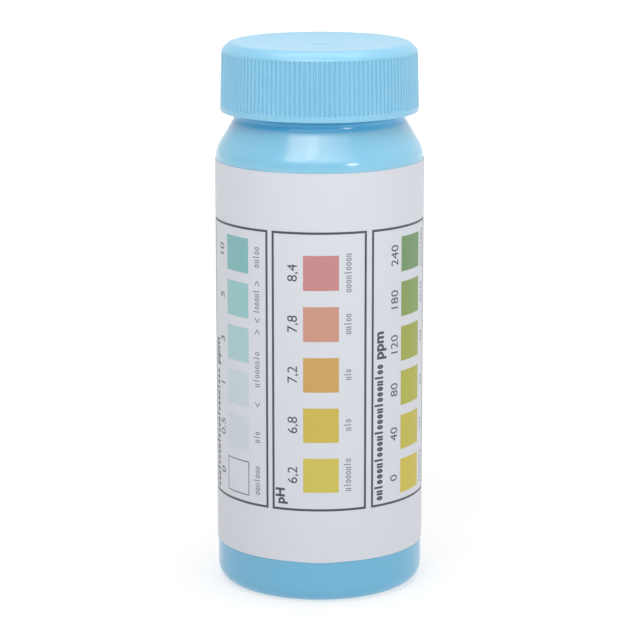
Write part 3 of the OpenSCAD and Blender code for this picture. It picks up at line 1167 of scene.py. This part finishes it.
def build_lid(material):
    """The vented lid: a disc with a plug ring under it and seven real holes."""
    low, high, skirt_z = CANISTER_HIGH.z, LID_HIGH.z, LID_LOW.z
    plug_r = CANISTER_R - CANISTER_WALL - 0.05
    profile = (
        [(0, low), (plug_r - 0.7, low), (plug_r - 0.7, skirt_z + 0.1), (plug_r - 0.6, skirt_z)]
        + [(plug_r - 0.15, skirt_z), (plug_r, skirt_z + 0.2), (plug_r, low), (CANISTER_R - 0.1, low)]
        + [(CANISTER_R, low + 0.1)] + arc(CANISTER_R - 0.3, high - 0.3, 0.3, 0, 90, 4)
        + [(CANISTER_R - 1.2, high), (CANISTER_R - 1.35, high - 0.1), (0, high - 0.1)]
    )
    points, faces = skin(turned(profile, circle(96), CANISTER_AXIS))
    lid = make_piece("desiccant_vented_lid", points, faces, [material], "desiccant",
                     ["desiccant_lid"])
    cutter = put("vents", mesh_mm("vents", *vents(low - 0.5, high + 0.5)))
    holes = lid.modifiers.new("vents", "BOOLEAN")
    holes.object = cutter
    holes.solver = "EXACT"
    drilled = evaluated_mesh(lid)
    lid.modifiers.clear()
    lid.data = drilled
    bpy.data.objects.remove(cutter)


def vents(low_z, high_z):
    """The seven vents as upright rods, one in the middle and six round it."""
    profile = [(0, low_z), (VENT_R, low_z), (VENT_R, high_z), (0, high_z)]
    x, y = CANISTER_AXIS
    places = [(0, 0)] + [polar(CANISTER_R / 2, a, 0)[:2] for a in circle(6)]
    return join([skin(turned(profile, circle(16), (x + off_x, y + off_y))) for off_x, off_y in places])


# ---------------------------------------------------------------------------------------------
# Stage, light and camera
# ---------------------------------------------------------------------------------------------


# brightness of the white room round the object: dim in front, bright behind and to the right, and its
# ceiling as a share of its walls
BRIGHT_SIDE = (0.35, 0.937, 0.0)
BRIGHT_WALL = 1.0
DIM_WALL = 0.2
CEILING = 0.8
WHITE = (1.0, 1.0, 1.0, 1.0)
FLOOR_REACH = 6.0
# height that the lamps look at, in metres
LAMP_AIM_Z = 0.05


def softbox(name, azimuth, elevation, distance, width, height, *radiances):
    """A softbox that faces the object, in upright strips from left to right, one for each radiance.

    Azimuth 0 is in front, 90 to the right.
    """
    a, e = math.radians(azimuth), math.radians(elevation)
    strip = width / len(radiances)
    for i, radiance in enumerate(radiances):
        light = bpy.data.lights.new(f"{name}_{i + 1}", "AREA")
        light.shape = "RECTANGLE"
        light.size, light.size_y = strip, height
        light.energy = radiance * math.pi * strip * height
        lamp = put(light.name, light)
        off = (i + 0.5) * strip - width / 2
        lamp.location = (distance * math.sin(a) * math.cos(e) + off * math.cos(a),
                         -distance * math.cos(a) * math.cos(e) + off * math.sin(a),
                         LAMP_AIM_Z + distance * math.sin(e))
        lamp.rotation_euler = (math.radians(90) - e, 0, a)


def build_floor():
    """A plain floor that glows like a light table, less in the middle where the lamps reach it."""
    corners = [(x * FLOOR_REACH, y * FLOOR_REACH, 0) for x, y in ((-1, -1), (1, -1), (1, 1), (-1, 1))]
    mesh = bpy.data.meshes.new("floor")
    mesh.from_pydata(corners, [], [(0, 1, 2, 3)])
    put("floor", mesh)
    look = Look("stage_white", roughness=0.9)
    patches = look.spread(look.noise(80, 2), 0.3, 0.7)
    look.colour(look.blend(patches, (0.34, 0.34, 0.34), (0.36, 0.36, 0.36)))
    look.shader.inputs["Emission Color"].default_value = WHITE
    far = look.add("ShaderNodeVectorMath", operation="LENGTH")
    look.link(look.place, far.inputs[0])
    glow = look.spread(far.outputs["Value"], 0.05, 0.6, 0.62, 0.88)
    look.link(glow, look.shader.inputs["Emission Strength"])
    mesh.materials.append(look.material)


def build_room():
    """The world: a white room, brighter on one side and darker in its ceiling."""
    world = bpy.data.worlds.new("studio")
    bpy.context.scene.world = world
    world.use_nodes = True
    tree = world.node_tree
    direction = tree.nodes.new("ShaderNodeTexCoord").outputs["Generated"]
    towards = tree.nodes.new("ShaderNodeVectorMath")
    towards.operation = "DOT_PRODUCT"
    towards.inputs[1].default_value = BRIGHT_SIDE
    tree.links.new(direction, towards.inputs[0])
    apart = tree.nodes.new("ShaderNodeSeparateXYZ")
    tree.links.new(direction, apart.inputs["Vector"])
    level = tree.nodes.new("ShaderNodeMath")
    level.operation = "MULTIPLY"
    walls = map_range(tree, towards.outputs["Value"], -0.7, 0.9, DIM_WALL, BRIGHT_WALL)
    ceiling = map_range(tree, apart.outputs["Z"], 0.1, 0.8, 1.0, CEILING)
    tree.links.new(walls, level.inputs[0])
    tree.links.new(ceiling, level.inputs[1])
    background = tree.nodes["Background"]
    tree.links.new(level.outputs["Value"], background.inputs["Strength"])
    background.inputs["Color"].default_value = WHITE


def build_lamps():
    softbox("key", -28, 47, 0.55, 0.244, 0.34, 3.5, 3.4, 3.3)
    softbox("fill", 16, 47, 0.55, 0.382, 0.34, 3.0, 2.6, 1.6, 1.2)
    softbox("overhead", 0, 90, 0.6, 0.7, 0.2, 2.8)
    softbox("behind", 180, 68, 0.6, 0.7, 0.22, 0.5)
    softbox("glint", 37, 18, 1.2, 0.13, 0.045, 80)


def build_camera():
    """A long lens in front of the object and a little above it."""
    camera = bpy.data.cameras.new("camera")
    camera.lens = 155.0
    camera.sensor_width = 36.0
    camera.shift_x = -0.0041
    eye = put("camera", camera)
    eye.location = (0, -0.49046, 0.15515)
    eye.rotation_euler = (math.radians(77.79), 0, 0)
    bpy.context.scene.camera = eye


# ---------------------------------------------------------------------------------------------
# Everything
# ---------------------------------------------------------------------------------------------

build_bottle(bottle_plastic())
build_label(label_paper())
build_print()
build_cap(cap_plastic())
build_liner(liner_foam())
build_strips(strip_film())
build_pads()
white_plastic, gel = canister_plastic(), silica_gel()
build_canister(white_plastic)
build_lid(white_plastic)
build_beads(gel)
build_floor()
build_room()
build_lamps()
build_camera()
bpy.context.scene.view_settings.view_transform = "Standard"
